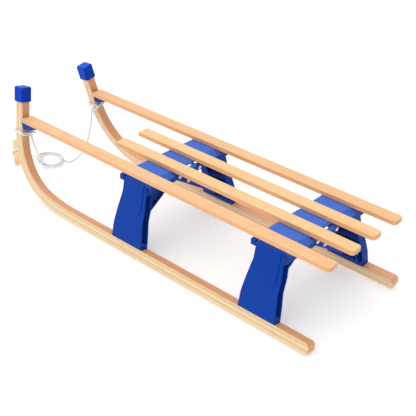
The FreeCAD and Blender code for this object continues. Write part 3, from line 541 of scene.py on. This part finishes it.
class Shader:
    """A material and short ways to add and join its nodes."""

    def __init__(self, name):
        self.material = bpy.data.materials.new(name)
        self.material.use_nodes = True
        self.tree = self.material.node_tree
        self.surface = self.tree.nodes["Principled BSDF"]

    def add(self, kind, links=(), **settings):
        node = self.tree.nodes.new("ShaderNode" + kind)
        for key, value in settings.items():
            setattr(node, key, value)
        for target, source in dict(links).items():
            self.tree.links.new(source, node.inputs[target])
        return node

    def join(self, source, target):
        self.tree.links.new(source, self.surface.inputs[target])

    def hold(self, target, value):
        self.surface.inputs[target].default_value = value

    def coordinates(self, scale, shift=(0, 0, 0), source=None):
        if source is None:
            source = self.add("TexCoord").outputs["Object"]
        mapping = self.add("Mapping", {"Vector": source})
        mapping.inputs["Scale"].default_value = scale
        mapping.inputs["Location"].default_value = shift
        return mapping.outputs["Vector"]

    def upward(self):
        """How far a face looks up: 1 on top, 0 on a side."""
        normal = self.add("NewGeometry").outputs["Normal"]
        return self.add("SeparateXYZ", {"Vector": normal}).outputs["Z"]

    def noise(self, vector, scale=1.0, detail=3.0, roughness=0.5, distortion=0.0):
        node = self.add("TexNoise", {"Vector": vector})
        node.inputs["Scale"].default_value = scale
        node.inputs["Detail"].default_value = detail
        node.inputs["Roughness"].default_value = roughness
        node.inputs["Distortion"].default_value = distortion
        return node.outputs["Fac"]

    def ramp(self, factor, stops):
        """stops are (place, colour) or (place, grey) pairs."""
        node = self.add("ValToRGB", {"Fac": factor})
        elements = node.color_ramp.elements
        while len(elements) < len(stops):
            elements.new(0.5)
        for element, (place, colour) in zip(elements, stops):
            element.position = place
            element.color = (colour, colour, colour, 1) if isinstance(colour, float) else (*colour, 1)
        return node.outputs["Color"]

    def mix(self, factor, first, second, blend="MIX"):
        node = self.add("Mix", data_type="RGBA", blend_type=blend)
        for socket, value in ((MIX_FACTOR, factor), (MIX_FIRST, first), (MIX_SECOND, second)):
            if isinstance(value, bpy.types.NodeSocket):
                self.tree.links.new(value, node.inputs[socket])
            elif isinstance(value, float):
                node.inputs[socket].default_value = value
            else:
                node.inputs[socket].default_value = (*value, 1)
        return node.outputs[MIX_RESULT]

    def math(self, operation, first, second=0.0):
        node = self.add("Math", operation=operation)
        for socket, value in enumerate((first, second)):
            if isinstance(value, bpy.types.NodeSocket):
                self.tree.links.new(value, node.inputs[socket])
            else:
                node.inputs[socket].default_value = value
        return node.outputs[0]

    def bump(self, height, strength, distance):
        node = self.add("Bump", {"Height": height})
        node.inputs["Strength"].default_value = strength
        node.inputs["Distance"].default_value = distance
        self.join(node.outputs["Normal"], "Normal")


def srgb(red, green, blue):
    """A screen colour, 0 to 255, as linear light."""
    result = []
    for value in (red, green, blue):
        value /= 255
        result.append(value / 12.92 if value <= 0.04045 else ((value + 0.055) / 1.055) ** 2.4)
    return tuple(result)


# ----------------------------------------------------------------------------------- the woods


def beech(shader, light, middle, dark, seed, source=None, long_grain=3.0):
    """Planed beech along X of the source: slow bands, fine pores and short dark flecks."""
    shift = (seed * 1.7, seed * 0.61, seed * 0.37)
    bands = shader.noise(shader.coordinates((long_grain, 70, 45), shift, source), 1.0, 4.0, 0.55, 0.6)
    clouds = shader.noise(shader.coordinates((2.2, 9, 9), shift, source), 1.0, 2.0)
    fibres = shader.noise(shader.coordinates((14, 900, 900), shift, source), 1.0, 3.0, 0.7)
    flecks = shader.noise(shader.coordinates((190, 1500, 1500), shift, source), 1.0, 1.0, 0.5)
    colour = shader.ramp(bands, [(0.30, middle), (0.48, light), (0.62, light), (0.78, middle)])
    colour = shader.mix(shader.ramp(clouds, [(0.38, 0.0), (0.75, 0.55)]), colour, middle)
    colour = shader.mix(shader.ramp(fibres, [(0.52, 0.0), (0.85, 0.5)]), colour, dark)
    colour = shader.mix(shader.ramp(flecks, [(0.66, 0.0), (0.74, 0.55)]), colour, dark)
    shader.join(colour, "Base Color")
    shader.join(shader.ramp(fibres, [(0.3, 0.36), (0.8, 0.55)]), "Roughness")
    shader.hold("Coat Weight", 0.12)
    shader.hold("Coat Roughness", 0.3)
    shader.bump(shader.mix(0.5, fibres, flecks), 0.25, 0.3 * MM)
    return colour


LAYERS = 8


def laminated_beech():
    """Strips glued flat: layers, glue lines and short checks on the sides, and plain wood elsewhere in a
    redder, darker tone that is part the veneer's colour and part painted shade.
    """
    layer_tan = srgb(228, 190, 134)
    glue_brown = srgb(150, 108, 66)
    check_brown = srgb(84, 54, 30)
    # The veneer's redder tone, made darker as painted shade on the faces off the sides.
    planed_red_and_shade = srgb(226, 146, 88)
    shader = Shader("laminated_beech")
    grain = shader.add("Attribute", attribute_name="grain").outputs["Vector"]
    colour = beech(shader, srgb(252, 234, 198), srgb(242, 216, 172), srgb(176, 128, 84), 2.0, grain, 2.0)
    parts = shader.add("SeparateXYZ", {"Vector": grain})
    half = RUNNER_WIDTH / 2 * MM
    from_middle = shader.math("ABSOLUTE", shader.math("SUBTRACT", parts.outputs["Y"], half))
    side_mask = shader.ramp(shader.math("MULTIPLY", from_middle, 1 / half), [(0.90, 0.0), (0.985, 1.0)])

    layer_place = shader.math("MULTIPLY", parts.outputs["Z"], LAYERS / (RUNNER_DEPTH * MM))
    tone = shader.add("TexWhiteNoise", {"W": shader.math("FLOOR", layer_place)}, noise_dimensions="1D")
    tinted = shader.mix(shader.ramp(tone.outputs["Value"], [(0.0, 0.0), (1.0, 0.85)]), colour, layer_tan)
    layer_share = shader.math("FRACT", layer_place)
    from_layer_middle = shader.math("ABSOLUTE", shader.math("SUBTRACT", layer_share, 0.5))
    glue = shader.ramp(from_layer_middle, [(0.36, 0.0), (0.47, 0.75)])
    glued = shader.mix(shader.mix(1.0, glue, side_mask, "MULTIPLY"), tinted, glue_brown)

    checks = shader.noise(shader.coordinates((26, 300, 560), (3.1, 0, 0.4), grain), 1.0, 1.0, 0.4)
    check_mask = shader.mix(1.0, shader.ramp(checks, [(0.715, 0.0), (0.745, 0.9)]), side_mask, "MULTIPLY")
    checked = shader.mix(check_mask, glued, check_brown)
    shader.join(shader.mix(side_mask, shader.mix(0.8, colour, planed_red_and_shade), checked), "Base Color")
    return shader.material


def slat_beech(name, seed, light, middle):
    """Beech whose narrow faces are painted darker and redder than its broad ones: painted shade on the sides.
    """
    # A darker red for the narrow faces: painted shade.
    painted_side_shade = (0.80, 0.36, 0.15)
    shader = Shader(name)
    colour = beech(shader, light, middle, srgb(196, 122, 70), seed)
    broad = shader.ramp(shader.math("ABSOLUTE", shader.upward()), [(0.35, 0.0), (0.8, 1.0)])
    shader.join(shader.mix(broad, shader.mix(0.72, colour, painted_side_shade), colour), "Base Color")
    return shader.material


def turned_beech():
    """The handle's beech, with its grain along the handle where it lies on the ground."""
    shader = Shader("turned_beech")
    here = shader.add("TexCoord").outputs["Object"]
    lying = shader.add("VectorRotate", {"Vector": here}, rotation_type="Z_AXIS")
    lying.inputs["Angle"].default_value = -math.atan2(HANDLE_HEADING.y, HANDLE_HEADING.x)
    source = lying.outputs["Vector"]
    beech(shader, srgb(248, 208, 156), srgb(236, 188, 130), srgb(190, 134, 84), 15.0, source, 9.0)
    return shader.material


# ---------------------------------------------------------------------- plastic, zinc and cord


def moulded_plastic(name, colour, pale, painted_sheen, roughness=0.42):
    """Satin moulding: a spark-eroded skin, faint flow marks, and upper faces painted paler as a painted sheen
    of the light from above.
    """
    shader = Shader(name)
    skin = shader.noise(shader.coordinates((1, 1, 1)), 1400.0, 2.0, 0.6)
    flow = shader.noise(shader.coordinates((9, 9, 24)), 1.0, 3.0, 0.6, 1.2)
    scuffs = shader.noise(shader.coordinates((60, 60, 420), (0.3, 0.1, 0)), 1.0, 4.0, 0.7)
    tone = shader.mix(shader.ramp(flow, [(0.35, 0.0), (0.75, 0.35)]), colour, pale)
    tone = shader.mix(shader.ramp(scuffs, [(0.66, 0.0), (0.82, 0.25)]), tone, pale)
    # Upper faces are mixed towards the paler colour: a painted sheen, not wear.
    tone = shader.mix(shader.ramp(shader.upward(), [(0.3, 0.0), (1.0, 0.62)]), tone, painted_sheen)
    shader.join(tone, "Base Color")
    shader.join(shader.ramp(flow, [(0.3, roughness - 0.06), (0.8, roughness + 0.1)]), "Roughness")
    shader.hold("Specular IOR Level", 0.09)
    shader.bump(skin, 0.22, 0.2 * MM)
    return shader.material


def zinc_plate():
    """Bright zinc: fine brushing and a little dulling."""
    shader = Shader("zinc_steel")
    brushing = shader.noise(shader.coordinates((260, 2600, 2600)), 1.0, 3.0, 0.6)
    dulling = shader.noise(shader.coordinates((90, 90, 90)), 1.0, 3.0)
    shader.join(shader.ramp(dulling, [(0.35, srgb(214, 216, 219)), (0.7, srgb(182, 186, 190))]), "Base Color")
    shader.hold("Metallic", 1.0)
    shader.join(shader.ramp(brushing, [(0.3, 0.22), (0.75, 0.42)]), "Roughness")
    shader.bump(brushing, 0.15, 0.1 * MM)
    return shader.material


def white_cord():
    """Braided white cord: light passes a little way in, with faint fuzz and a soft sheen."""
    shader = Shader("white_cord")
    fuzz = shader.noise(shader.coordinates((1, 1, 1)), 2600.0, 3.0, 0.7)
    patches = shader.noise(shader.coordinates((1, 1, 1)), 70.0, 2.0)
    tone = shader.ramp(patches, [(0.3, srgb(222, 222, 221)), (0.7, srgb(234, 234, 233))])
    tone = shader.mix(shader.ramp(fuzz, [(0.5, 0.0), (0.9, 0.35)]), tone, srgb(200, 200, 199))
    shader.join(tone, "Base Color")
    shader.hold("Roughness", 0.78)
    shader.hold("Sheen Weight", 0.3)
    shader.hold("Subsurface Weight", 0.7)
    shader.hold("Subsurface Radius", (1, 1, 1))
    shader.hold("Subsurface Scale", 4 * MM)
    shader.bump(fuzz, 0.35, 0.2 * MM)
    return shader.material


# ------------------------------------------------------------------------- dressing the pieces


def dress(item, material):
    """Gives a piece or a CAD node one material."""
    slots = item.data.materials
    slots.clear()
    slots.append(material)


# The third colour of each plastic is the painted sheen on its upper faces.
BLUE = moulded_plastic("blue_plastic", srgb(2, 59, 157), srgb(12, 74, 174), srgb(88, 132, 226))
CAP_BLUE = moulded_plastic("cap_blue_plastic", srgb(0, 58, 186), srgb(4, 74, 204), srgb(30, 108, 232), 0.36)
BLACK = moulded_plastic("black_plastic", srgb(30, 30, 32), srgb(58, 58, 60), srgb(50, 50, 52))
ZINC = zinc_plate()
CORD = white_cord()
LAMINATED = laminated_beech()
OUTER_LIGHT = srgb(250, 200, 148)
OUTER_MIDDLE = srgb(240, 180, 122)
INNER_LIGHT = srgb(252, 208, 150)
INNER_MIDDLE = srgb(244, 192, 130)
WOODS = {
    "left_outer_slat": slat_beech("beech_left_outer", 1.0, OUTER_LIGHT, OUTER_MIDDLE),
    "left_inner_slat": slat_beech("beech_left_inner", 4.0, INNER_LIGHT, INNER_MIDDLE),
    "right_inner_slat": slat_beech("beech_right_inner", 7.0, INNER_LIGHT, INNER_MIDDLE),
    "right_outer_slat": slat_beech("beech_right_outer", 11.0, OUTER_LIGHT, OUTER_MIDDLE),
    "pull_handle": turned_beech(),
}
BY_SLOT = {"blue_plastic": BLUE, "black_plastic": BLACK, "zinc_steel": ZINC}
material_slots = {entry["node"]: entry["material_slot"] for entry in frame["record"]["subparts"]}
for node, item in nodes.items():
    if node in WOODS:
        dress(item, WOODS[node])
    elif node.endswith("horn_cap"):
        dress(item, CAP_BLUE)
    elif material_slots[node] in BY_SLOT:
        dress(item, BY_SLOT[material_slots[node]])
for item in (pull_cord, left_tie, right_tie):
    dress(item, CORD)
for item in (left_runner, right_runner):
    dress(item, LAMINATED)

# -------------------------------------------------------------------------- floor and lights

FLOOR_HALF = 14.0
WORLD_STRENGTH = 0.26

# Each sun: the place it shines from, its strength, and its width in degrees.
SUNS = {
    "overhead": ((0.5, 0.3, 2.4), 2.12, 100),
    "side": ((-0.3, 2.0, 1.1), 0.65, 60),
    "fill": ((1.6, -1.8, 1.0), 0.5, 90),
}


def make_floor():
    """A pale floor that glows a little, so that the sled's shadow on it stays faint."""
    half = FLOOR_HALF
    corners = [(-half, -half, 0), (half, -half, 0), (half, half, 0), (-half, half, 0)]
    floor = mesh_object("floor", corners, [(0, 1, 2, 3)], smooth=False)
    shader = Shader("pale_floor")
    shader.hold("Base Color", (0.8, 0.8, 0.8, 1))
    shader.hold("Roughness", 0.9)
    shader.hold("Specular IOR Level", 0.1)
    shader.hold("Emission Color", (1, 1, 1, 1))
    shader.hold("Emission Strength", 0.34)
    dress(floor, shader.material)


def soft_sun(name, from_place, strength, width):
    """A wide, even light that shines from a place towards the sled."""
    data = bpy.data.lights.new(name, "SUN")
    data.energy = strength
    data.angle = math.radians(width)
    light = add_object(name, data)
    light.location = from_place
    light.rotation_mode = "QUATERNION"
    light.rotation_quaternion = (-Vector(from_place)).to_track_quat("-Z", "Y")


def make_light():
    world = bpy.data.worlds.new("studio")
    world.use_nodes = True
    background = world.node_tree.nodes["Background"]
    background.inputs["Color"].default_value = (1, 1, 1, 1)
    background.inputs["Strength"].default_value = WORLD_STRENGTH
    bpy.context.scene.world = world
    for name, settings in SUNS.items():
        soft_sun(name, *settings)
    bpy.context.scene.view_settings.view_transform = "Standard"


make_floor()
make_light()
